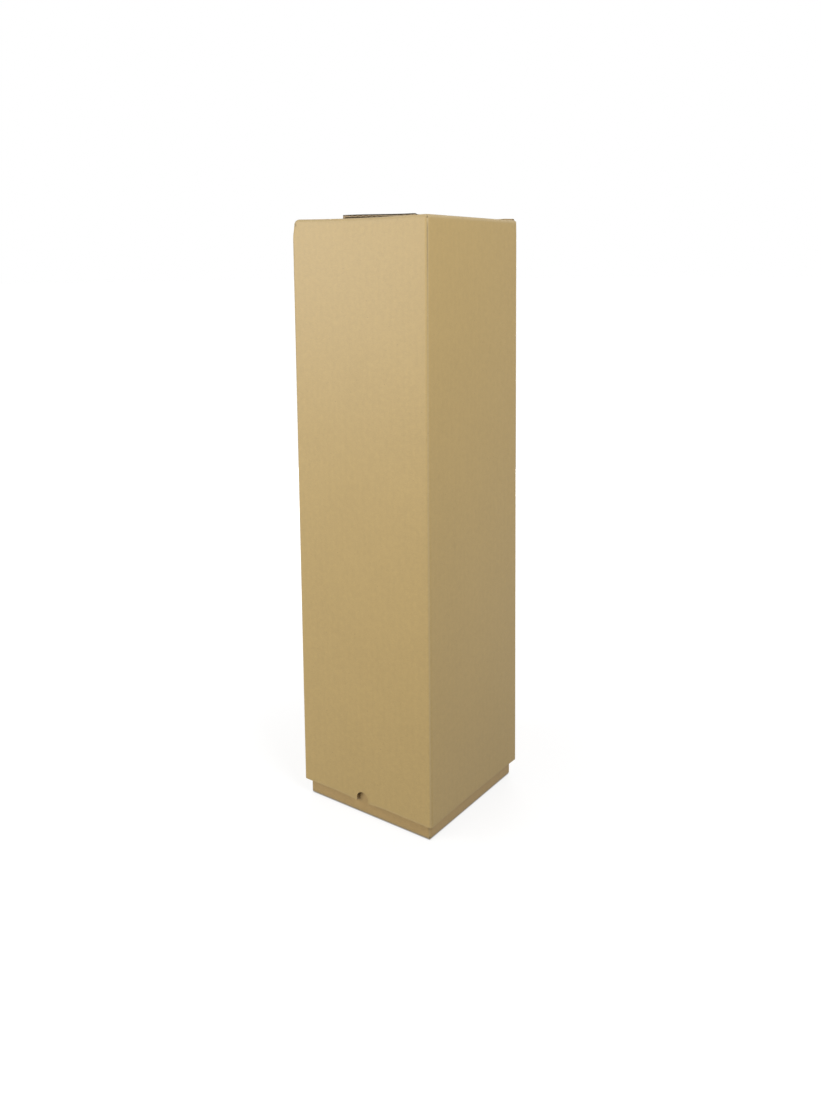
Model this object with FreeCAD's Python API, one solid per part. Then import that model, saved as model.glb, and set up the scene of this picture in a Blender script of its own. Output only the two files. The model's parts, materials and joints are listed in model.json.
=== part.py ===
import FreeCAD, Part
import math
import os

# Telescopic carton of single-wall corrugated board: a long lid tube pushed down over a base tube.
# Millimetres, +Z up. The origin is the middle of the base's bottom face. The front, with the thumb
# notch, faces -Y and the right wall faces +X. Every panel is three glued layers: an outer liner,
# a fluted medium and an inner liner.

# Board
board = 3.0
liner = 0.4
medium = 0.3
flute_pitch = 6.5
crest_share = 0.22

# Lid tube: its height runs from the bottom edge to the plane of the top creases
lid_width = 150.0
lid_height = 535.3
front_flap_length = 55.0
side_flap_length = 60.0

# Tongue flap: a full-width root on the back wall, drawn in to a tongue that rests on the front flap
tongue_length = 116.0
tongue_width = 82.0
tongue_neck = 50.0
tongue_corner = 1.5

# Base tube: the band that shows under the lid, and the flaps inside its bottom
base_shown = 15.3
base_side_flap_length = 50.0

# Thumb notch in the bottom edge of the lid's front wall
notch_width = 13.5
notch_height = 9.3
notch_offset = -3.2

# Glue tabs, crushed flat, inside the front right corner of each tube
tab_width = 30.0
tab_bevel = 12.0
tab_end_gap = 6.0

# Fits and die cuts
fit_clearance = 1.5
flap_gap = 0.3
slot_gap = 0.5
seam_gap = 1.0
fold_run = 9.0
flap_taper = 2.0
flap_corner = 4.0
overrun = 5.0

# Sizes that follow from these
flap_drop = board + flap_gap
tab_thickness = 2 * liner + medium
base_width = lid_width - 2 * (board + fit_clearance)
crease_level = base_shown + lid_height
base_height = crease_level - flap_drop - board - flap_gap
base_end_flap_length = (base_width - seam_gap) / 2
hinge_radius = board / 2
tongue_reach = tongue_length - hinge_radius
hinge_to_front_flap = lid_width - hinge_radius - front_flap_length
tongue_tilt = math.degrees(math.atan2(hinge_radius + flap_gap, hinge_to_front_flap))

X = FreeCAD.Vector(1, 0, 0)
Y = FreeCAD.Vector(0, 1, 0)
Z = FreeCAD.Vector(0, 0, 1)
SIDES = {"front": -Y, "right": X, "back": Y, "left": -X}
LAYERS = ("outer_liner", "fluting", "inner_liner")

# A panel is drawn in its own axes: u across the flutes, v along them, w towards the outside


def across(u, w):
    """Point of a section square to the flutes."""
    return FreeCAD.Vector(u, 0, w)


def lengthwise(v, w):
    """Point of a section along the flutes."""
    return FreeCAD.Vector(0, v, w)


def flat(u, v):
    """Point of a panel's flat outline."""
    return FreeCAD.Vector(u, v, 0)


def arc(point, centre, radius, start, end):
    """Arc in a section, between two angles in degrees."""

    def at(degrees):
        angle = math.radians(degrees)
        return point(centre[0] + radius * math.cos(angle), centre[1] + radius * math.sin(angle))

    return Part.Arc(at(start), at((start + end) / 2), at(end))


def rounded(before, corner, after, radius):
    """Arc that rounds a corner between two straight edges."""
    back = (before - corner).normalize()
    onward = (after - corner).normalize()
    half_angle = back.getAngle(onward) / 2
    tangent = radius / math.tan(half_angle)
    depth = radius / math.sin(half_angle) - radius
    middle = (back + onward).normalize()
    return Part.Arc(corner + back * tangent, corner + middle * depth, corner + onward * tangent)


def closed_face(*pieces):
    """Face inside points and arcs taken in order, with straight edges between them."""
    edges = []
    last = pieces[-1]
    for piece in pieces:
        start = getattr(piece, "StartPoint", piece)
        edges.append(Part.LineSegment(getattr(last, "EndPoint", last), start).toShape())
        if start is not piece:
            edges.append(piece.toShape())
        last = piece
    return Part.Face(Part.Wire(edges))


def flute_face(width, low, high):
    """Section of the fluted medium: flat crests and troughs that meet the two liners."""
    count = max(round(width / flute_pitch), 1)
    pitch = width / count
    crest = crest_share * pitch
    lower = [(-width / 2, low)]
    for index in range(count):
        start = index * pitch - width / 2
        middle = start + pitch / 2
        lower.append((start + crest / 2, low))
        lower.append((middle - crest / 2, high - medium))
        lower.append((middle + crest / 2, high - medium))
        lower.append((start + pitch - crest / 2, low))
    lower.append((width / 2, low))
    upper = [across(u, w + medium) for u, w in reversed(lower)]
    return closed_face(*[across(u, w) for u, w in lower], *upper)


def wall(width, height):
    """Layers of one wall. Its inner face is w = 0, and each end turns half of a rounded corner."""
    half = width / 2 - board
    inside = board - liner
    right = (half, 0)
    left = (-half, 0)
    outer = closed_face(
        arc(across, right, board, 90, 45),
        arc(across, right, inside, 45, 90),
        arc(across, left, inside, 90, 135),
        arc(across, left, board, 135, 90),
    )
    core = flute_face(2 * half, liner, inside)
    inner = closed_face(
        across(-half, 0), across(half, 0), across(half + liner, liner), across(-half - liner, liner)
    )
    return [face.extrude(Y * height) for face in (outer, core, inner)]


def thumb_notch():
    """Cutter for the round-topped notch, through the whole board."""
    radius = notch_width / 2
    centre = flat(notch_offset, notch_height - radius)
    round_top = Part.Arc(centre - X * radius, centre + Y * radius, centre + X * radius)
    below = -Y * (overrun + centre.y)
    face = closed_face(round_top, centre + X * radius + below, centre - X * radius + below)
    return face.extrude(Z * (board + 2 * overrun)).translated(-Z * overrun)


def flap_blank(side, tip_radius=0):
    """Flat outline of a flap, from the corners of its right-hand edge, thick enough for any fold."""
    corners = [flat(u, v) for u, v in side] + [flat(-u, v) for u, v in reversed(side)]
    pieces = list(corners)
    if tip_radius:
        for index in (len(side) - 1, len(side)):
            pieces[index] = rounded(*corners[index - 1:index + 2], tip_radius)
    depth = flap_drop + board + overrun
    return closed_face(*pieces).extrude(Z * (depth + overrun)).translated(-Z * depth)


def cut_layers(sections, fluting, root_half, blank):
    """Spread the two liner sections over the flap's width and trim all three layers to its outline."""
    outer, inner = [
        section.extrude(X * (2 * root_half)).translated(-X * root_half) for section in sections
    ]
    return [layer.common(blank).removeSplitter() for layer in (outer, fluting, inner)]


def tube_end(width):
    """The space over one wall's end, where the tube's two rounded edges reach up to the fold."""
    middle = width / 2 - board
    plan = closed_face(
        arc(flat, (middle, board), board, 270, 360),
        flat(width / 2, width),
        flat(-width / 2, width),
        arc(flat, (-middle, board), board, 180, 270),
    )
    depth = flap_drop + board + overrun
    return plan.extrude(Z * (depth + overrun)).translated(-Z * depth)


def flap(width, length, drop):
    """Layers of a flap that is folded over a tube's end, drawn from the wall's outer face at the crease.

    Its face lies at the level of the crease, or is pushed down by the drop to pass under another flap.
    Its fold is mitred at the corners, where it meets the folds beside it.
    """
    root_half = width / 2 - board - slot_gap
    neck_half = root_half - fold_run
    bend = (board, -board)
    level = board + fold_run
    outer = closed_face(
        arc(lengthwise, bend, board, 180, 90),
        lengthwise(level, -drop),
        lengthwise(length, -drop),
        lengthwise(length, -drop - liner),
        lengthwise(level, -drop - liner),
        arc(lengthwise, bend, board - liner, 90, 180),
    )
    under = [(board - liner, 0), (board, 0), (level, -drop), (length, -drop)]
    inner = closed_face(
        *[lengthwise(v, w - board) for v, w in under],
        *[lengthwise(v, w - board + liner) for v, w in reversed(under)],
    )
    flute_start = level if drop else board
    core = flute_face(2 * root_half, liner - board - drop, -liner - drop)
    core = core.extrude(Y * (length - flute_start)).translated(Y * flute_start)
    tip_half = neck_half - flap_taper
    side = [
        (root_half + board, 0),
        (neck_half, level),
        (tip_half, length - flap_corner),
        (tip_half - flap_corner, length),
    ]
    blank = flap_blank(side).common(tube_end(width))
    return cut_layers((outer, inner), core, root_half + board, blank)


def tongue_flap():
    """Layers of the tongue flap, drawn from its hinge axis, with a round bead there, and tilted."""
    root_half = lid_width / 2 - board - slot_gap
    axis = (0, 0)
    inside = hinge_radius - liner
    outer = closed_face(
        arc(lengthwise, axis, hinge_radius, 270, 90),
        lengthwise(tongue_reach, hinge_radius),
        lengthwise(tongue_reach, inside),
        arc(lengthwise, axis, inside, 90, 270),
    )
    inner = closed_face(
        lengthwise(0, -hinge_radius),
        lengthwise(tongue_reach, -hinge_radius),
        lengthwise(tongue_reach, -inside),
        lengthwise(0, -inside),
    )
    core = flute_face(2 * root_half, -inside, inside).extrude(Y * tongue_reach)
    side = [
        (root_half, -hinge_radius),
        (root_half, hinge_radius),
        (root_half - fold_run, hinge_radius + fold_run),
        (tongue_width / 2, tongue_neck),
        (tongue_width / 2, tongue_reach),
    ]
    layers = cut_layers((outer, inner), core, root_half, flap_blank(side, tongue_corner))
    return [layer.rotated(FreeCAD.Vector(), X, tongue_tilt) for layer in layers]


def glue_tab(width, height):
    """Crushed strip on a wall's inner face, with bevelled ends, from the corner at low u."""
    corner = board - width / 2
    face = closed_face(
        flat(corner, tab_end_gap),
        flat(corner + tab_width, tab_end_gap + tab_bevel),
        flat(corner + tab_width, height - tab_end_gap - tab_bevel),
        flat(corner, height - tab_end_gap),
    )
    return face.extrude(-Z * tab_thickness)


def placed(shape, along, outward, origin):
    """A shape turned from a panel's own axes into the carton, v along the flutes and w outward."""
    turn = FreeCAD.Rotation(along.cross(outward), along, outward, "XYZ")
    result = shape.copy()
    result.Placement = FreeCAD.Placement(origin, turn).multiply(shape.Placement)
    return result


nodes = {}


def add_panel(name, layers, along, outward, origin):
    for layer, shape in zip(LAYERS, layers):
        nodes[name + "_" + layer] = placed(shape, along, outward, origin)


def add_tube(name, width, bottom, tops):
    """Four walls and the glue tab, whose inner faces lie one board inside the tube's width."""
    for side, outward in SIDES.items():
        height = tops[side] - bottom
        layers = wall(width, height)
        origin = outward * (width / 2 - board) + Z * bottom
        if name == "lid" and side == "front":
            layers = [layer.cut(thumb_notch()) for layer in layers]
        if side == "right":
            nodes[name + "_glue_tab"] = placed(glue_tab(width, height), Z, outward, origin)
        add_panel(f"{name}_{side}_wall", layers, Z, outward, origin)


# Lid: the back wall stops just under the tongue flap's hinge bead, the others at their folds
lid_tops = dict.fromkeys(SIDES, crease_level - board)
lid_tops["back"] = crease_level - hinge_radius - flap_gap
add_tube("lid", lid_width, base_shown, lid_tops)

lid_flaps = {
    "front": (front_flap_length, 0),
    "right": (side_flap_length, flap_drop),
    "left": (side_flap_length, flap_drop),
}
for side, (length, drop) in lid_flaps.items():
    outward = SIDES[side]
    origin = outward * (lid_width / 2) + Z * crease_level
    add_panel(f"lid_{side}_flap", flap(lid_width, length, drop), -outward, Z, origin)

hinge_axis = Y * (lid_width / 2 - hinge_radius) + Z * crease_level
add_panel("tongue_flap", tongue_flap(), -Y, Z, hinge_axis)

# Base: the front and back flaps meet under the bottom, and the side flaps lie inside on top of them
add_tube("base", base_width, board, dict.fromkeys(SIDES, base_height))

base_flaps = {
    "front": (base_end_flap_length, 0),
    "back": (base_end_flap_length, 0),
    "right": (base_side_flap_length, flap_drop),
    "left": (base_side_flap_length, flap_drop),
}
for side, (length, drop) in base_flaps.items():
    outward = SIDES[side]
    origin = outward * (base_width / 2)
    add_panel(f"base_{side}_flap", flap(base_width, length, drop), -outward, -Z, origin)

os.makedirs("parts", exist_ok=True)
for name, shape in nodes.items():
    shape.exportStep(f"parts/{name}.step")
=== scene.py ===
import json
import math

import bmesh
import bpy
import numpy as np
from mathutils import Matrix, Vector


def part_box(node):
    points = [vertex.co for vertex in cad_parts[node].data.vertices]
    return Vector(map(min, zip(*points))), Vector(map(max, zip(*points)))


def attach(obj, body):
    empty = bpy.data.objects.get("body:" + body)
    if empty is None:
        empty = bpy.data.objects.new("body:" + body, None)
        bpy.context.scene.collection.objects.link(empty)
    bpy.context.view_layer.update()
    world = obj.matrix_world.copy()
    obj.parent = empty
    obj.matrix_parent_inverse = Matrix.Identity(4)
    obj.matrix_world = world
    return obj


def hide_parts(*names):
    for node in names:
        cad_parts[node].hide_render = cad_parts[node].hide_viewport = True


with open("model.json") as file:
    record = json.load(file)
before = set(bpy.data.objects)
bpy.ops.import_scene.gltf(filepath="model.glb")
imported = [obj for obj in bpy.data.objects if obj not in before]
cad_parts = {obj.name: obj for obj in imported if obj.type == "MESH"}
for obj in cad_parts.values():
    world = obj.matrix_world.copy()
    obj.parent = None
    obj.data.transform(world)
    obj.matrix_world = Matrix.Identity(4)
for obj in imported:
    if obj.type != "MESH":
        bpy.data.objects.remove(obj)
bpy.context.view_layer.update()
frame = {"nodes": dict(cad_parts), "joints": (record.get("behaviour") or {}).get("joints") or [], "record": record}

# Sizes read from the frame, in metres. Each sheet of paper is drawn from its own solid.
MM = 0.001
front_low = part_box("lid_front_wall_outer_liner")[0]
tongue_low, tongue_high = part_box("tongue_flap_outer_liner")
base_low, base_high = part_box("base_front_wall_outer_liner")
LID_HALF = -front_low.y
LID_BOTTOM = front_low.z
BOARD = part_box("lid_front_wall_inner_liner")[1].y - front_low.y
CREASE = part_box("lid_front_flap_outer_liner")[1].z
BASE_HALF = -base_low.y
BASE_TOP = base_high.z
SLOT = LID_HALF - BOARD - tongue_high.x
HINGE = Vector(next(joint for joint in frame["joints"] if joint["type"] == "hinge")["pos_m"])
TONGUE_REACH = HINGE.y - tongue_low.y
tongue_corners = [vertex.co for vertex in frame["nodes"]["tongue_flap_outer_liner"].data.vertices]
TONGUE_HALF = max(corner.x for corner in tongue_corners if corner.y < tongue_low.y + BOARD)
TONGUE_TILT = math.asin((tongue_high.z - HINGE.z - BOARD / 2) / TONGUE_REACH)
TONGUE_OUT = np.array((0, math.sin(TONGUE_TILT), math.cos(TONGUE_TILT)))
openings = {opening["name"]: opening["box_m"] for opening in frame["record"]["physics"]["openings"]}
notch_low, notch_high = openings["thumb_notch"]
NOTCH_MIDDLE = (notch_low[0] + notch_high[0]) / 2
NOTCH_TOP = notch_high[2]
HALVES = {"lid": LID_HALF, "base": BASE_HALF, "tongue": LID_HALF}
OUTWARD = {"front": (0, -1, 0), "right": (1, 0, 0), "back": (0, 1, 0), "left": (-1, 0, 0)}

# Board, and how deep the full-width root of the tongue flap is
FLUTE_PITCH = 6.5 * MM
FLUTE_STEPS = 8
CREST_SHARE = 0.22
LINER = 0.4 * MM
MEDIUM = 0.3 * MM
TONGUE_ROOT_DEPTH = 25 * MM

# Slices of a sheet: the wide step, the length of the finely sliced ends and the fine step
LINER_COLUMNS = (8 * MM, 10 * MM, 1.5 * MM)
LINER_ROWS = (15 * MM, 18 * MM, 2 * MM)
FLUTING_ROWS = (40 * MM, 16 * MM, 5 * MM)
TONGUE_ROWS = (4 * MM, 18 * MM, 2 * MM)
WELD = 0.001 * MM
FLAT_ANGLE = math.radians(0.4)
SHARP_ANGLE = math.radians(32)

# How squarely a face looks along its sheet, at the least, if it is a cut edge
END_FACING = 0.6
SIDE_FACING = 0.5

# How far the folded board strays from flat panels and straight edges. A corner of the carton is
# named by the signs of its x and y, so that (1, -1) is the near corner of the photograph. The waves
# are sines: a buckle's are given in radians per metre across the wall and over its whole height, an
# edge's in radians per metre of x and of y with a phase. NEAR_LEAN runs along x and y, and any other
# pair of lengths is where a change starts and where it is complete.
WALL_BOWS = {"front": 0.7 * MM, "right": 0.5 * MM, "back": 0.6 * MM, "left": 0.4 * MM}
BOW_EDGE = 12 * MM
BOW_POWER = 0.8
BUCKLE = 0.12 * MM
BUCKLE_WAVES = ((41, 9), (23, 17))
EDGE_WAVE = 0.22 * MM
EDGE_WAVES = ((118, 90, 0), (53, -71, 1.3))
EDGE_WAVE_RUN = 30 * MM
TOP_BAND = (50 * MM, 4 * MM)
FRONT_SAG = 1.1 * MM
FRONT_SAG_END = (12 * MM, 90 * MM)
TOP_LEFT_RISE = 1.3 * MM
BACK_RIM_RISE = 0.25 * MM
BACK_RIM_RUN = 30 * MM
NEAR_LEAN = (1.0 * MM, 0.7 * MM)
NEAR_LEAN_START = 300 * MM
PINCH = 0.8 * MM
PINCH_RUN = 70 * MM
NOTCH_SAG = 1.3 * MM
NOTCH_SAG_RUN = 22 * MM
NOTCH_SAG_FADE = 25 * MM
BASE_BOW_SHARE = 0.5
MITRE_RUN = 1.5 * MM
MITRE_GAP = 0.1 * MM
CRUSH_RUN = 8 * MM
CRUSH_DEPTH = 18 * MM
CRUSH_POWERS = (2, 1.2)
CRUSH_IN_SHARE = 0.35
CRUSHES = {(-1, -1): 4.2 * MM, (1, -1): 0.3 * MM, (-1, 1): 0.8 * MM, (1, 1): 0.4 * MM}
TONGUE_SKEW = 2 * MM
TONGUE_LEFT_RISE = 1.5 * MM
TONGUE_RIGHT_FALL = 0.3 * MM
TONGUE_LIP_DROP = 0.7 * MM
TONGUE_LIP_START = (0.5 * MM, 4 * MM)
TONGUE_LIP_END = (9 * MM, 18 * MM)
TONGUE_DIP = 1.3 * MM
TONGUE_DIP_START = (7 * MM, 14 * MM)
TONGUE_DIP_END = (55 * MM, 85 * MM)
TONGUE_CRUSH_RUN = 9 * MM
TONGUE_CRUSH_SHARE = 0.25
TONGUE_FRAY_RUN = 3 * MM
TONGUE_FRAY = 2.2
TONGUE_SIDE_FRAY_RUN = 8 * MM
TONGUE_SIDE_FRAY = 4.5
TONGUE_ROOT_FRAY = 6.0
TONGUE_ROOT_END = (16 * MM, 26 * MM)
TONGUE_LINER_FRAY = 0.6 * MM

# Wear along folds and cut edges. Along corners and folds the paler colour is also a painted sheen on their rounded
# edges.
CORNER_WEAR_AND_SHEEN_RUN = 0.9 * MM
CORNER_WEAR_AND_SHEEN_SHARE = 0.6
FOLD_WEAR_AND_SHEEN_RUN = 2.2 * MM
FOLD_WEAR_AND_SHEEN_SHARE = 0.8
CUT_WEAR_RUN = 1.2 * MM
CUT_WEAR_SHARE = 0.3
# Dirt and painted shade in the crack of the joint at the lid's near corner
SEAM_RUN = 0.42 * MM
SEAM_START = (4 * MM, 12 * MM)
SEAM_OPEN_END = (24 * MM, 75 * MM)
SEAM_END = (40 * MM, 200 * MM)
SEAM_SHUT_SHARE = 0.4
# Painted shade along the base's bottom fold
BOTTOM_SHADE_RUN = 3 * MM
BOTTOM_SHADE_SHARE = 0.6

# Papers, as linear colours
LINER_COLOURS = {
    "lid": (0.426, 0.3, 0.118),
    # The base's paper is a little darker than the lid's, a painted shade for the lid's shadow on the band of base
    # below it
    "base": (0.405, 0.27, 0.106),
    "tongue": (0.426, 0.3, 0.118),
}
# Paler, less yellow paper where scuffed along corners and folds, and there also a painted sheen
WORN_AND_SHEEN_COLOUR = (0.42, 0.335, 0.2)
# The liners' cut edges, made lighter as painted light on the shaded cut faces inside the thumb notch
CUT_COLOUR_WITH_PAINTED_LIGHT = (0.24, 0.13, 0.07)
# Near-black cut edge of the tongue, a painted shade for its shaded edge and the gap beneath it
TONGUE_CUT_SHADE_COLOUR = (0.045, 0.034, 0.018)
MEDIUM_COLOUR = (0.33, 0.23, 0.12)
MEDIUM_CUT_COLOUR = (0.38, 0.275, 0.16)
TONGUE_MEDIUM_CUT_COLOUR = (0.32, 0.245, 0.155)
GLUE_TAB_COLOUR = (0.39, 0.27, 0.107)

# Patterns in the papers: scales in features per metre, how much each axis is squeezed, and depths as
# shares of tone. A fleck's radius and blur are shares of its cell, and a mark's blur of its radius.
CLOUD_SCALE = 17.0
CLOUD_DEPTH = 0.07
MOTTLE_SCALE = 230.0
MOTTLE_DEPTH = 0.16
FIBRE_SCALE = 620.0
FIBRE_SQUEEZE = (1.0, 1.0, 3.2)
FIBRE_DEPTH = 0.3
RIPPLE_DEPTH = 0.006
FLECK_SCALE = 150.0
FLECK_SQUEEZE = (1.0, 1.0, 2.4)
FLECK_RARITY = 0.72
FLECK_RADIUS = 0.12
FLECK_BLUR = 0.05
FLECK_DEPTH = 0.28
MARK_RAGGED_SCALE = 900.0
MARK_BLUR = (0.5, 1.6)
DARK_DEPTH = 0.42
# How fibres break up the scuffed colour and the painted sheen along corners and folds
RUBBED_AND_SHEEN_FIBRES = (0.3, 0.6)
RUBBED_AND_SHEEN_SHARES = (0.3, 0.9)

# Contrast of the patterns where it isn't 1, and gloss and relief of the papers
TAB_CONTRAST = 1.3
CUT_CONTRAST = 1.4
FLUTING_CONTRAST = 1.2
KRAFT_ROUGHNESS = 0.41
KRAFT_FIBRE_ROUGHNESS = 0.14
WORN_ROUGHNESS = 0.12
KRAFT_SPECULAR = 0.41
KRAFT_MOTTLE_RELIEF = 0.6
KRAFT_RIPPLE_RELIEF = 0.35
RAW_ROUGHNESS = 0.8
RAW_FIBRE_ROUGHNESS = 0.15
RAW_SPECULAR = 0.25

# Small marks in the paper: place, radius and depth of tone. The last is painted shade in the crease of the lid's
# crushed top-left corner.
MARKS_AND_SHADE = (
    ((-44 * MM, -LID_HALF, 92.5 * MM), 0.9 * MM, 0.35),
    ((LID_HALF, -36 * MM, 262 * MM), 4.5 * MM, 0.06),
    ((LID_HALF, -20 * MM, 137 * MM), 0.7 * MM, 0.22),
    # Painted shade in the crease of the crushed top-left corner
    ((4.6 * MM - LID_HALF, -LID_HALF, CREASE - 4.2 * MM), 2.4 * MM, 0.4),
)

# Camera of the photograph
CAMERA_PLACE = (0.5285, -0.7194, 0.5022)
CAMERA_YAW = math.radians(36.163)
CAMERA_PITCH = math.radians(6.445)
CAMERA_ROLL = math.radians(-0.587)
CAMERA_LENS = 31.253
CAMERA_SHIFT = -0.1525
CAMERA_SENSOR = 36
CAMERA_FAR = 200

# Stage, in metres. The floor's glow rises to white over FLOOR_FADE. A softbox has its place, the height
# on the carton's axis that it looks at, its size and its power in watts.
AMBIENT = 0.25
FLOOR_HALF = 60
FLOOR_GLOW = 0.8
FLOOR_GREY = 0.22
FLOOR_FADE = (0.12, 0.6)
SOFTBOXES = {
    "key_light": ((-0.45, -1.5, 0.66), 0.45, 0.8, 8.6),
    "side_light": ((-1.05, -1.15, 0.66), 0.45, 0.7, 12.6),
    "fill_light": ((0.95, -0.35, 0.95), 0.4, 0.6, 11),
    "top_light": ((0.2, 0.7, 1.7), 0.3, 1.0, 2),
    "back_light": ((-0.75, 1.3, 0.4), 0.3, 0.9, 18),
}


# Shapes


def smooth(value, low, high):
    """0 below low, 1 above high, and an even ramp between them."""
    share = np.clip((value - low) / (high - low), 0, 1)
    return share * share * (3 - 2 * share)


def near(distance, run):
    """1 at no distance, falling off over the run."""
    return np.exp(-((distance / run) ** 2))


def panel_of(node):
    """Tube, side, kind and layer that a node's name gives."""
    words = node.split("_")
    if words[0] == "tongue":
        return "tongue", "back", "flap", "_".join(words[2:])
    if "tab" in words:
        return words[0], "right", "wall", "glue_tab"
    return words[0], words[1], words[2], "_".join(words[3:])


def panel_axes(tube, side, kind):
    """Directions across the flutes, along them and out of the panel."""
    outward = Vector(OUTWARD[side])
    if kind == "wall":
        along, out = Vector((0, 0, 1)), outward
    else:
        along, out = -outward, Vector((0, 0, -1 if tube == "base" else 1))
    across = Vector((abs(outward.y), abs(outward.x), 0))
    return across, along, out


def cut_places(low, high, step, edge, fine_step):
    """Places to slice a sheet at: wide steps, and finer ones near both ends."""
    wide = np.arange(low + step, high, step)
    wide = wide[(wide > low + edge) & (wide < high - edge)]
    fine = np.arange(fine_step, edge, fine_step)
    return np.concatenate([low + fine, wide, high - fine])


def sliced(node, axes, flute_width, is_tongue):
    """Copy of a solid's mesh with enough rows and columns to bend, and more in the tongue."""
    mesh = bmesh.new()
    mesh.from_mesh(frame["nodes"][node].data)
    bmesh.ops.remove_doubles(mesh, verts=mesh.verts, dist=WELD)
    bmesh.ops.dissolve_limit(mesh, angle_limit=FLAT_ANGLE, verts=mesh.verts, edges=mesh.edges)
    across, along, _ = axes
    low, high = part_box(node)
    span = sorted((low.dot(across), high.dot(across)))
    run = sorted((low.dot(along), high.dot(along)))
    if flute_width:
        step = flute_width / round(flute_width / FLUTE_PITCH) / FLUTE_STEPS
        columns = np.arange(-flute_width / 2 + step, flute_width / 2, step)
    else:
        columns = cut_places(*span, *LINER_COLUMNS)
    if is_tongue:
        rows = cut_places(*run, *TONGUE_ROWS)
    elif flute_width:
        rows = cut_places(*run, *FLUTING_ROWS)
    else:
        rows = cut_places(*run, *LINER_ROWS)
    for direction, places in ((across, columns), (along, rows)):
        for place in places:
            everything = mesh.verts[:] + mesh.edges[:] + mesh.faces[:]
            bmesh.ops.bisect_plane(
                mesh, geom=everything, dist=WELD, plane_co=direction * place, plane_no=direction
            )
    return mesh


def rounded_flutes(points, across, out, centre, flute_width, crush, fray):
    """Turn a fluting's straight-sided wave into a round one, crushed and frayed at a free edge."""
    u = points @ across
    w = (points - centre) @ out
    pitch = flute_width / round(flute_width / FLUTE_PITCH)
    phase = np.mod((u + flute_width / 2) / pitch, 1)
    from_trough = 0.5 - np.abs(phase - 0.5)
    straight = np.clip((from_trough - CREST_SHARE / 2) / (0.5 - CREST_SHARE), 0, 1)
    round_wave = (1 - np.cos(2 * math.pi * phase)) / 2
    height = w.max() - w.min() - MEDIUM
    middle = (straight - 0.5) * height
    wave = (round_wave - 0.5) * height * crush + (w - middle) * fray
    return points + np.outer(wave - w, out)


def bowed_walls(points, half, bottom, top, share, pinch):
    """Push each wall out in a shallow, buckled bow, and its bottom edge in by the pinch."""
    moved = points.copy()
    rise = np.clip((points[:, 2] - bottom) / (top - bottom), 0, 1)
    for side, bow in WALL_BOWS.items():
        out = np.array(OUTWARD[side], float)
        u = points @ np.array([abs(out[1]), abs(out[0]), 0.0])
        on_wall = smooth(points @ out, half - BOW_EDGE, half - 2 * BOARD)
        middle = 1 - np.clip(u / half, -1, 1) ** 2
        first, second = (u * across + rise * up for across, up in BUCKLE_WAVES)
        buckle = np.sin(first) * np.sin(second + out[0])
        arch = np.sin(math.pi * rise)
        swell = share * bow * arch ** BOW_POWER + BUCKLE * buckle * arch
        swell -= pinch * (1 - smooth(points[:, 2], bottom, bottom + PINCH_RUN))
        moved += np.outer(on_wall * middle * swell, out)
    return moved


def closed_mitres(points, half, axes):
    """Bring the mitred ends of a flap's fold up to the folds beside it."""
    across = np.array(axes[0])
    along = np.array(axes[1])
    u = points @ across
    inward = half + points @ along
    from_mitre = half - inward - np.abs(u) - SLOT
    share = near(from_mitre, MITRE_RUN) * (1 - smooth(inward, BOARD, 3 * BOARD))
    step = share * (SLOT - MITRE_GAP) / 2
    return points + np.outer(np.sign(u) * step, across) + np.outer(step, along)


def corner_share(x, y, side_x, side_y):
    """1 at one corner of the lid's plan, falling evenly to 0 at the other three."""
    return np.clip(1 + side_x * x / LID_HALF, 0, 2) * np.clip(1 + side_y * y / LID_HALF, 0, 2) / 4


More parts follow.
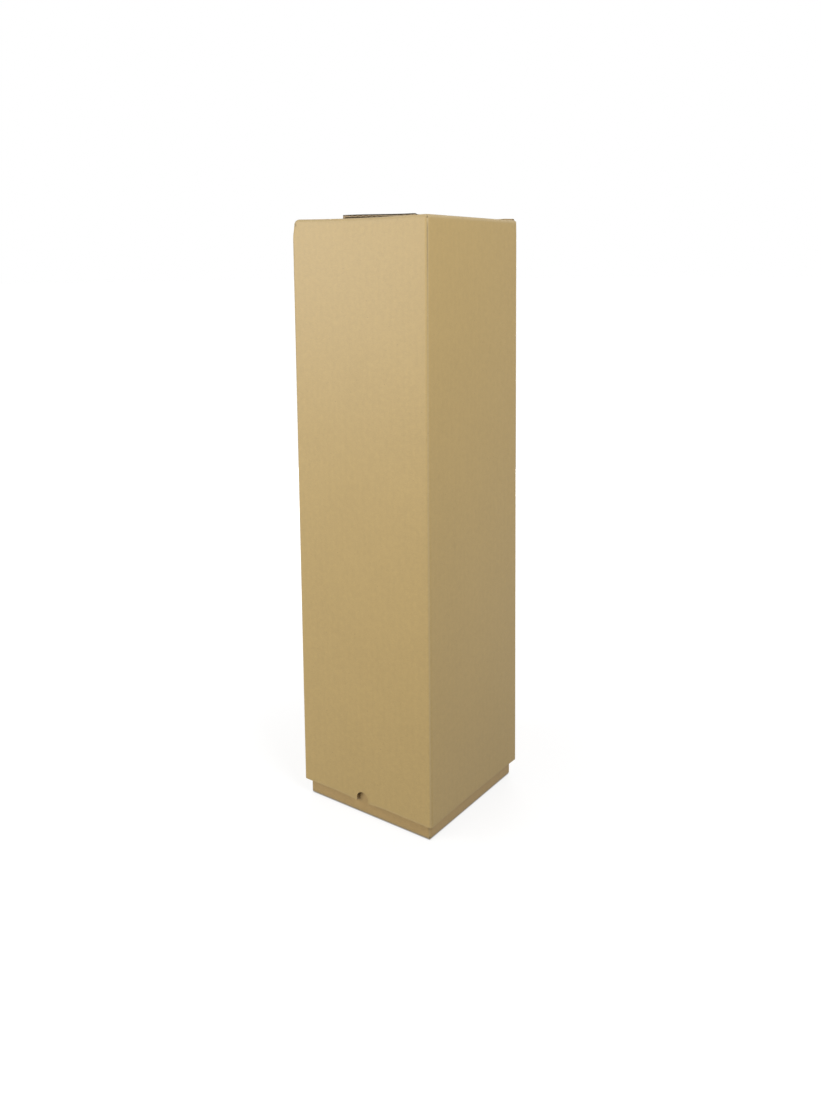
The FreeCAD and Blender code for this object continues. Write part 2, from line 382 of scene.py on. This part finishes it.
def settled_lid(points):
    """Small departures of the lid's panels from flat: bows, uneven edges and crushed corners."""
    x, y, z = points.T
    moved = bowed_walls(points, LID_HALF, LID_BOTTOM, CREASE, 1, PINCH)
    from_front = LID_HALF + y
    at_top = smooth(z, CREASE - TOP_BAND[0], CREASE - TOP_BAND[1])
    at_front = 1 - smooth(from_front, *FRONT_SAG_END)
    moved[:, 2] -= FRONT_SAG * (1 - np.clip(x / LID_HALF, -1, 1) ** 2) * at_top * at_front
    for (side_x, side_y), depth in CRUSHES.items():
        share_x = np.clip(1 - (LID_HALF - side_x * x) / CRUSH_RUN, 0, 1) ** CRUSH_POWERS[0]
        share_y = np.clip(1 - (LID_HALF - side_y * y) / CRUSH_RUN, 0, 1) ** CRUSH_POWERS[1]
        share = share_x * share_y * smooth(z, CREASE - CRUSH_DEPTH, CREASE)
        moved[:, 2] -= depth * share
        moved[:, 0] -= side_x * CRUSH_IN_SHARE * depth * share
        moved[:, 1] -= side_y * CRUSH_IN_SHARE * depth * share
    moved[:, 2] += TOP_LEFT_RISE * corner_share(x, y, -1, -1) * at_top
    below_hinge = smooth(z, HINGE.z - BACK_RIM_RUN, HINGE.z - BOARD)
    moved[:, 2] += BACK_RIM_RISE * below_hinge * smooth(y, LID_HALF - 2 * BOARD, LID_HALF - BOARD)
    low_down = 1 - smooth(z, NOTCH_TOP, NOTCH_TOP + NOTCH_SAG_FADE)
    on_front = 1 - smooth(from_front, 2 * BOARD, 4 * BOARD)
    moved[:, 2] -= NOTCH_SAG * near(x - NOTCH_MIDDLE, NOTCH_SAG_RUN) * low_down * on_front
    up = np.clip((z - NEAR_LEAN_START) / (CREASE - NEAR_LEAN_START), 0, 1)
    lean = corner_share(x, y, 1, -1) * up
    moved[:, 0] += NEAR_LEAN[0] * lean
    moved[:, 1] += NEAR_LEAN[1] * lean
    wave = sum(np.sin(x * per_x + y * per_y + phase) for per_x, per_y, phase in EDGE_WAVES)
    at_edge = 1 - smooth(z, LID_BOTTOM, LID_BOTTOM + EDGE_WAVE_RUN)
    moved[:, 2] += EDGE_WAVE / len(EDGE_WAVES) * wave * at_edge
    return moved


def settled_base(points):
    """The base's walls, held by the lid, bow less than the lid's."""
    return bowed_walls(points, BASE_HALF, 0, BASE_TOP, BASE_BOW_SHARE, 0)


def settled_tongue(points):
    """Skew and twist the tongue so that its left end stands higher, with a dip in front of the hinge."""
    distance = HINGE.y - points[:, 1]
    from_edge = TONGUE_REACH - distance
    run = np.clip(distance / TONGUE_REACH, 0, 1)
    left = smooth(-points[:, 0], -TONGUE_HALF, TONGUE_HALF)
    twist = (TONGUE_LEFT_RISE + TONGUE_RIGHT_FALL) * left - TONGUE_RIGHT_FALL
    dip = smooth(distance, *TONGUE_DIP_START) * (1 - smooth(distance, *TONGUE_DIP_END))
    lip = smooth(from_edge, *TONGUE_LIP_START) * (1 - smooth(from_edge, *TONGUE_LIP_END))
    moved = points.copy()
    moved[:, 0] -= TONGUE_SKEW * run
    moved[:, 2] += twist * run ** 2 - TONGUE_DIP * dip - TONGUE_LIP_DROP * lip * (1 - left)
    return moved


SETTLED = {"lid": settled_lid, "base": settled_base, "tongue": settled_tongue}


def from_corner_line(points):
    """Distance of each point from the upright planes through the carton's four corners."""
    return np.abs(np.abs(points[:, 0]) - np.abs(points[:, 1])) / math.sqrt(2)


def wear_and_sheen_at(points, tube, kind, axes):
    """How much each point of a sheet is scuffed along corners, folds and cut edges, with a painted sheen along
    corners and folds.
    """
    z = points[:, 2]
    wear = CORNER_WEAR_AND_SHEEN_SHARE * near(from_corner_line(points), CORNER_WEAR_AND_SHEEN_RUN)
    if kind == "flap":
        from_fold = HALVES[tube] + points @ np.array(axes[1]) - BOARD / 2
    else:
        from_fold = (CREASE if tube == "lid" else BASE_TOP) - z
    if kind == "wall" and tube == "lid":
        wear = np.maximum(wear, CUT_WEAR_SHARE * near(z - LID_BOTTOM, CUT_WEAR_RUN))
    return np.maximum(wear, FOLD_WEAR_AND_SHEEN_SHARE * near(from_fold, FOLD_WEAR_AND_SHEEN_RUN))


def darkened(points, tube, kind):
    """Darkness of the base's bottom fold, a painted shade, and of the joint at the lid's near corner, dirt and
    painted shade in its crack.
    """
    x, y, z = points.T
    if tube == "base":
        # Painted shade along the base's bottom fold
        return BOTTOM_SHADE_SHARE * near(z, BOTTOM_SHADE_RUN)
    if tube != "lid" or kind != "wall":
        return np.zeros(len(points))
    below_top = CREASE - z
    opened = (1 - SEAM_SHUT_SHARE) * (1 - smooth(below_top, *SEAM_OPEN_END))
    shut = SEAM_SHUT_SHARE * (1 - smooth(below_top, *SEAM_END))
    depth = (opened + shut) * smooth(below_top, *SEAM_START)
    return near(from_corner_line(points), SEAM_RUN) * depth * (x > 0) * (y < 0)


def is_cut(normal, centre, tube, kind, axes):
    """Is a face of a sheet its cut edge and not one of its two sides?"""
    across, along, _ = axes
    half = HALVES[tube]
    if kind == "wall":
        in_panel = abs(centre.dot(across)) < half - 2 * BOARD
        return abs(normal.z) > END_FACING or (abs(normal.dot(across)) > END_FACING and in_panel)
    fold_depth = TONGUE_ROOT_DEPTH if tube == "tongue" else 2 * BOARD
    past_fold = half + centre.dot(along) > fold_depth
    return past_fold and (normal.dot(along) > END_FACING or abs(normal.dot(across)) > SIDE_FACING)


def waved(points, node, tube, axes, flute_width):
    """The round wave of a fluting. The tongue's is tilted, and crushed and frayed at its edge."""
    across, _, out = np.array(axes)
    if tube != "tongue":
        low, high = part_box(node)
        centre = np.array((low + high) / 2)
        return rounded_flutes(points, across, out, centre, flute_width, 1, 1)
    from_edge = TONGUE_REACH - HINGE.y + points[:, 1]
    from_side = TONGUE_HALF - np.abs(points[:, 0])
    at_root = 1 - smooth(TONGUE_REACH - from_edge, *TONGUE_ROOT_END)
    whole = smooth(from_edge, 0, TONGUE_CRUSH_RUN) * (1 - at_root)
    crush = TONGUE_CRUSH_SHARE + (1 - TONGUE_CRUSH_SHARE) * whole
    at_edge = 1 - smooth(from_edge, 0, TONGUE_FRAY_RUN)
    at_side = 1 - smooth(from_side, 0, TONGUE_SIDE_FRAY_RUN)
    fray = 1 + (TONGUE_FRAY + TONGUE_SIDE_FRAY * at_side) * at_edge + TONGUE_ROOT_FRAY * at_root
    return rounded_flutes(points, across, TONGUE_OUT, np.array(HINGE), flute_width, crush, fray)


def frayed_liner(points, layer):
    """Thicken the cut edge of a tongue's liner towards the fluting between the two, so that more of it carries the
    near-black cut colour, a painted shade.
    """
    inward = -1 if layer == "outer_liner" else 1
    w = (points - np.array(HINGE)) @ TONGUE_OUT * -inward
    inner_face = w < BOARD / 2 - LINER / 2
    from_edge = TONGUE_REACH - HINGE.y + points[:, 1]
    thicker = TONGUE_LINER_FRAY * (1 - smooth(from_edge, 0, TONGUE_FRAY_RUN)) * inner_face
    return points + np.outer(inward * thicker, TONGUE_OUT)


def set_attribute(mesh, name, values):
    attribute = mesh.attributes.new(name, "FLOAT", "POINT")
    attribute.data.foreach_set("value", values.astype(np.float32))


def paper(node, body, faces_material, cut_material):
    """The sheet of paper that a node stands for, bent as the folded board is."""
    tube, side, kind, layer = panel_of(node)
    axes = panel_axes(tube, side, kind)
    half = HALVES[tube]
    flute_width = 0
    if layer == "fluting":
        flute_width = 2 * (half - BOARD if kind == "wall" else half - BOARD - SLOT)
    shaped = sliced(node, axes, flute_width, tube == "tongue")
    shaped.normal_update()
    for face in shaped.faces:
        cut = is_cut(face.normal, face.calc_center_median(), tube, kind, axes)
        face.material_index = 1 if cut else 0
    mesh = bpy.data.meshes.new(node + "_paper")
    shaped.to_mesh(mesh)
    shaped.free()
    points = np.empty(3 * len(mesh.vertices))
    mesh.vertices.foreach_get("co", points)
    points = points.reshape(-1, 3)
    wear = wear_and_sheen_at(points, tube, kind, axes)
    dark = darkened(points, tube, kind)
    if layer == "fluting":
        points = waved(points, node, tube, axes, flute_width)
    elif tube == "tongue":
        points = frayed_liner(points, layer)
    if kind == "flap" and tube != "tongue":
        points = closed_mitres(points, half, axes)
    points = SETTLED[tube](points)
    mesh.vertices.foreach_set("co", points.ravel())
    set_attribute(mesh, "wear", wear)
    set_attribute(mesh, "dark", dark)
    mesh.materials.append(faces_material)
    mesh.materials.append(cut_material)
    mesh.shade_smooth()
    mesh.set_sharp_from_angle(angle=SHARP_ANGLE)
    mesh.update()
    piece = bpy.data.objects.new(node + "_paper", mesh)
    bpy.context.scene.collection.objects.link(piece)
    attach(piece, body)
    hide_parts(node)


# Materials


class Shader:
    """A material's node tree, built one node at a time."""

    def __init__(self, name):
        self.material = bpy.data.materials.new(name)
        self.material.use_nodes = True
        self.tree = self.material.node_tree
        self.surface = self.tree.nodes["Principled BSDF"]

    def add(self, kind, inputs=None, **settings):
        node = self.tree.nodes.new("ShaderNode" + kind)
        for name, value in settings.items():
            setattr(node, name, value)
        for name, value in (inputs or {}).items():
            self.feed(node, name, value)
        return node

    def feed(self, node, name, value):
        """Set a socket to a constant, or link it to another node's first output or to a socket."""
        socket = node.inputs[name]
        if isinstance(value, bpy.types.Node):
            value = value.outputs[0]
        if isinstance(value, bpy.types.NodeSocket):
            self.tree.links.new(value, socket)
        else:
            socket.default_value = value

    def math(self, operation, first, second=0.0, third=0.0):
        return self.add("Math", {0: first, 1: second, 2: third}, operation=operation)

    def ramp(self, value, low, high, start=0.0, end=1.0):
        """Even ramp of a value between two limits."""
        inputs = {"Value": value, "From Min": low, "From Max": high, "To Min": start, "To Max": end}
        return self.add("MapRange", inputs, interpolation_type="SMOOTHSTEP")

    def noise(self, place, scale, detail=2.0, roughness=0.55):
        inputs = {"Vector": place, "Scale": scale, "Detail": detail, "Roughness": roughness}
        return self.add("TexNoise", inputs)

    def squeezed(self, place, squeeze):
        """Places at which a pattern comes out narrower along each axis by its squeeze."""
        return self.add("Mapping", {"Vector": place, "Scale": squeeze})


def paper_tone(shader, place, contrast, ripple_axis):
    """Relative brightness of paper: clouds, mottling, fibres and a faint trace of the flutes."""
    clouds = shader.noise(place, CLOUD_SCALE)
    mottle = shader.noise(place, MOTTLE_SCALE, detail=3.0, roughness=0.6)
    narrowed = shader.squeezed(place, FIBRE_SQUEEZE)
    fibres = shader.noise(narrowed, FIBRE_SCALE, detail=4.0, roughness=0.65)
    tone = shader.math("MULTIPLY_ADD", clouds, CLOUD_DEPTH * contrast, 1.0 - CLOUD_DEPTH / 2 * contrast)
    for pattern, depth in ((mottle, MOTTLE_DEPTH), (fibres, FIBRE_DEPTH)):
        from_middle = shader.math("SUBTRACT", pattern, 0.5)
        tone = shader.math("MULTIPLY_ADD", from_middle, depth * contrast, tone)
    ripple = None
    if ripple_axis is not None:
        split = shader.add("SeparateXYZ", {"Vector": place})
        angle = shader.math("MULTIPLY", split.outputs[ripple_axis], 2 * math.pi / FLUTE_PITCH)
        ripple = shader.math("SINE", angle)
        tone = shader.math("MULTIPLY_ADD", ripple, RIPPLE_DEPTH * contrast, tone)
    return tone, fibres, mottle, ripple


def flecks(shader, place):
    """Sparse short dark fibres, 0 off them and 1 on them."""
    narrowed = shader.squeezed(place, FLECK_SQUEEZE)
    cells = shader.add("TexVoronoi", {"Vector": narrowed, "Scale": FLECK_SCALE, "Randomness": 1.0})
    size = shader.add("TexWhiteNoise", {"Vector": cells.outputs["Position"]})
    limit = shader.ramp(size.outputs["Value"], FLECK_RARITY, 1.0, 0.0, FLECK_RADIUS)
    return shader.ramp(shader.math("SUBTRACT", limit, cells.outputs["Distance"]), 0.0, FLECK_BLUR)


def marks(shader, place):
    """The few larger marks, and the painted shade at the lid's crushed corner, as a share of tone that they take
    away.
    """
    total = None
    ragged = shader.noise(place, MARK_RAGGED_SCALE)
    for centre, radius, depth in MARKS_AND_SHADE:
        distance = shader.add("VectorMath", {0: place, 1: centre}, operation="DISTANCE")
        uneven = shader.math("MULTIPLY_ADD", ragged, radius, distance.outputs["Value"])
        inside = shader.ramp(uneven, MARK_BLUR[0] * radius, MARK_BLUR[1] * radius, 1.0, 0.0)
        mark = shader.math("MULTIPLY", inside, depth)
        total = mark if total is None else shader.math("ADD", total, mark)
    return total


def mixed(shader, share, first, second, blend):
    """Blend two colours. The node has sockets for other types too, so its own are given by number."""
    inputs = {0: share, 6: first, 7: second}
    return shader.add("Mix", inputs, data_type="RGBA", blend_type=blend).outputs[2]


def tinted(shader, colour, tone):
    return mixed(shader, 1.0, (*colour, 1.0), tone, "MULTIPLY")


def kraft(name, colour, ripple_axis, contrast=1.0, marked=False):
    """Uncoated brown kraft liner."""
    shader = Shader(name)
    place = shader.add("TexCoord").outputs["Object"]
    tone, fibres, mottle, ripple = paper_tone(shader, place, contrast, ripple_axis)
    tone = shader.math("MULTIPLY_ADD", flecks(shader, place), -FLECK_DEPTH, tone)
    if marked:
        tone = shader.math("SUBTRACT", tone, marks(shader, place))
    # Scuffed paper along corners, folds and cut edges, with a painted sheen along corners and folds
    wear = shader.add("Attribute", attribute_name="wear").outputs["Fac"]
    rubbed_and_sheen = shader.math("MULTIPLY", wear, shader.ramp(fibres, *RUBBED_AND_SHEEN_FIBRES, *RUBBED_AND_SHEEN_SHARES))
    # Painted shade from the dark attribute: along the base's bottom fold, and with dirt in the joint at the lid's
    # near corner
    dark = shader.add("Attribute", attribute_name="dark").outputs["Fac"]
    tone = shader.math("MULTIPLY_ADD", dark, -DARK_DEPTH, tone)
    whole = tinted(shader, colour, tone)
    bare_and_sheen = tinted(shader, WORN_AND_SHEEN_COLOUR, tone)
    shader.feed(shader.surface, "Base Color", mixed(shader, rubbed_and_sheen, whole, bare_and_sheen, "MIX"))
    rough = shader.math("MULTIPLY_ADD", fibres, KRAFT_FIBRE_ROUGHNESS, KRAFT_ROUGHNESS)
    shader.feed(shader.surface, "Roughness", shader.math("MULTIPLY_ADD", wear, WORN_ROUGHNESS, rough))
    height = shader.math("MULTIPLY_ADD", mottle, KRAFT_MOTTLE_RELIEF, fibres)
    if ripple is not None:
        height = shader.math("MULTIPLY_ADD", ripple, KRAFT_RIPPLE_RELIEF, height)
    bump = shader.add("Bump", {"Strength": 0.22, "Distance": 0.12 * MM, "Height": height})
    shader.feed(shader.surface, "Normal", bump)
    shader.feed(shader.surface, "Specular IOR Level", KRAFT_SPECULAR)
    return shader.material


def raw_paper(name, colour, contrast):
    """Fluting paper, and the raw edge of a die cut: coarse fibres and no calendered face."""
    shader = Shader(name)
    place = shader.add("TexCoord").outputs["Object"]
    tone, fibres, mottle, _ = paper_tone(shader, place, contrast, None)
    shader.feed(shader.surface, "Base Color", tinted(shader, colour, tone))
    rough = shader.math("MULTIPLY_ADD", fibres, RAW_FIBRE_ROUGHNESS, RAW_ROUGHNESS)
    shader.feed(shader.surface, "Roughness", rough)
    height = shader.math("ADD", fibres, mottle)
    bump = shader.add("Bump", {"Strength": 0.4, "Distance": 0.15 * MM, "Height": height})
    shader.feed(shader.surface, "Normal", bump)
    shader.feed(shader.surface, "Specular IOR Level", RAW_SPECULAR)
    return shader.material


LINERS = {
    (tube, axis): kraft(f"{tube}_kraft_{axis}", colour, "xy".index(axis), marked=tube == "lid")
    for tube, colour in LINER_COLOURS.items()
    for axis in "xy"
}
GLUE_TAB = kraft("kraft_glue_tab", GLUE_TAB_COLOUR, "xy".index("y"), TAB_CONTRAST)
# Cut edges of the liners, lightened as painted light for the thumb notch's shaded faces
LINER_CUT_WITH_PAINTED_LIGHT = raw_paper("kraft_cut_edge", CUT_COLOUR_WITH_PAINTED_LIGHT, CUT_CONTRAST)
FLUTING = raw_paper("fluted_medium", MEDIUM_COLOUR, FLUTING_CONTRAST)
FLUTING_CUT = raw_paper("fluted_medium_cut_edge", MEDIUM_CUT_COLOUR, CUT_CONTRAST)
# Near-black cut edge of the tongue, painted shade
TONGUE_CUT_SHADE = raw_paper("tongue_cut_edge", TONGUE_CUT_SHADE_COLOUR, CUT_CONTRAST)
TONGUE_FLUTING_CUT = raw_paper("tongue_medium_cut_edge", TONGUE_MEDIUM_CUT_COLOUR, CUT_CONTRAST)

for body, nodes in frame["record"]["behaviour"]["bodies"].items():
    for node in nodes:
        tube, side, _, layer = panel_of(node)
        if layer == "fluting":
            paper(node, body, FLUTING, TONGUE_FLUTING_CUT if tube == "tongue" else FLUTING_CUT)
        elif layer == "glue_tab":
            paper(node, body, GLUE_TAB, LINER_CUT_WITH_PAINTED_LIGHT)
        else:
            liner = LINERS[tube, "x" if side in ("front", "back") else "y"]
            paper(node, body, liner, TONGUE_CUT_SHADE if tube == "tongue" else LINER_CUT_WITH_PAINTED_LIGHT)


# Stage


def seen_directly(tree):
    """1 for rays from the camera, a mirror or a pane, and 0 for the light that falls on things."""
    path = tree.nodes.new("ShaderNodeLightPath")
    total = path.outputs["Is Camera Ray"]
    for name in ("Is Glossy Ray", "Is Transmission Ray"):
        larger = tree.nodes.new("ShaderNodeMath")
        larger.operation = "MAXIMUM"
        tree.links.new(total, larger.inputs[0])
        tree.links.new(path.outputs[name], larger.inputs[1])
        total = larger.outputs[0]
    return total


def white_world():
    """White to look at, and an even soft light on the object."""
    world = bpy.data.worlds.new("studio")
    world.use_nodes = True
    tree = world.node_tree
    background = tree.nodes["Background"]
    background.inputs["Color"].default_value = (1, 1, 1, 1)
    strength = tree.nodes.new("ShaderNodeMapRange")
    strength.inputs["To Min"].default_value = AMBIENT
    strength.inputs["To Max"].default_value = 1
    tree.links.new(seen_directly(tree), strength.inputs["Value"])
    tree.links.new(strength.outputs[0], background.inputs["Strength"])
    bpy.context.scene.world = world


def pale_floor():
    """A plain white floor that keeps the object's soft shadow, and is pure white further off."""
    shader = Shader("floor")
    tree = shader.tree
    tree.nodes.remove(shader.surface)
    place = shader.add("NewGeometry").outputs["Position"]
    distance = shader.add("VectorMath", {0: place}, operation="LENGTH").outputs["Value"]
    either_side = shader.add("VectorMath", {0: place}, operation="ABSOLUTE")
    sides = shader.add("SeparateXYZ", {"Vector": either_side})
    from_middle = shader.math("MAXIMUM", sides.outputs["X"], sides.outputs["Y"])
    in_the_open = shader.ramp(from_middle, BASE_HALF - BOARD, BASE_HALF)
    strength = shader.math("MULTIPLY", shader.ramp(distance, *FLOOR_FADE, FLOOR_GLOW, 1.0), in_the_open)
    strength = shader.math("MULTIPLY", strength, seen_directly(tree))
    shade = shader.add("BsdfDiffuse", {"Color": (FLOOR_GREY, FLOOR_GREY, FLOOR_GREY, 1)})
    light = shader.add("Emission", {"Strength": strength})
    both = shader.add("AddShader", {0: shade, 1: light})
    shader.feed(tree.nodes["Material Output"], "Surface", both)
    mesh = bpy.data.meshes.new("floor")
    signs = ((-1, -1), (1, -1), (1, 1), (-1, 1))
    corners = [(FLOOR_HALF * side_x, FLOOR_HALF * side_y, 0) for side_x, side_y in signs]
    mesh.from_pydata(corners, [], [(0, 1, 2, 3)])
    mesh.materials.append(shader.material)
    floor = bpy.data.objects.new("floor", mesh)
    bpy.context.scene.collection.objects.link(floor)


def softbox(name, place, aim_height, size, power):
    """A square light that looks at the carton's axis."""
    lamp = bpy.data.lights.new(name, "AREA")
    lamp.shape = "SQUARE"
    lamp.size = size
    lamp.energy = power
    holder = bpy.data.objects.new(name, lamp)
    holder.location = place
    aim = Vector((0, 0, aim_height)) - Vector(place)
    holder.rotation_euler = aim.to_track_quat("-Z", "Y").to_euler()
    bpy.context.scene.collection.objects.link(holder)


def photo_camera():
    """The camera of the photograph, just below the carton's top and to the right of its front."""
    sin_yaw, cos_yaw = math.sin(CAMERA_YAW), math.cos(CAMERA_YAW)
    sin_pitch, cos_pitch = math.sin(CAMERA_PITCH), math.cos(CAMERA_PITCH)
    right = Vector((cos_yaw, sin_yaw, 0))
    up = Vector((-sin_yaw * sin_pitch, cos_yaw * sin_pitch, cos_pitch))
    back = right.cross(up)
    turn = Matrix((right, up, back)).transposed().to_4x4()
    data = bpy.data.cameras.new("photo_camera")
    data.sensor_width = CAMERA_SENSOR
    data.lens = CAMERA_LENS
    data.shift_y = CAMERA_SHIFT
    data.clip_end = CAMERA_FAR
    camera = bpy.data.objects.new("photo_camera", data)
    roll = Matrix.Rotation(CAMERA_ROLL, 4, "Z")
    camera.matrix_world = Matrix.Translation(CAMERA_PLACE) @ turn @ roll
    bpy.context.scene.collection.objects.link(camera)
    bpy.context.scene.camera = camera


bpy.context.scene.view_settings.view_transform = "Standard"
white_world()
pale_floor()
for light, settings in SOFTBOXES.items():
    softbox(light, *settings)
photo_camera()
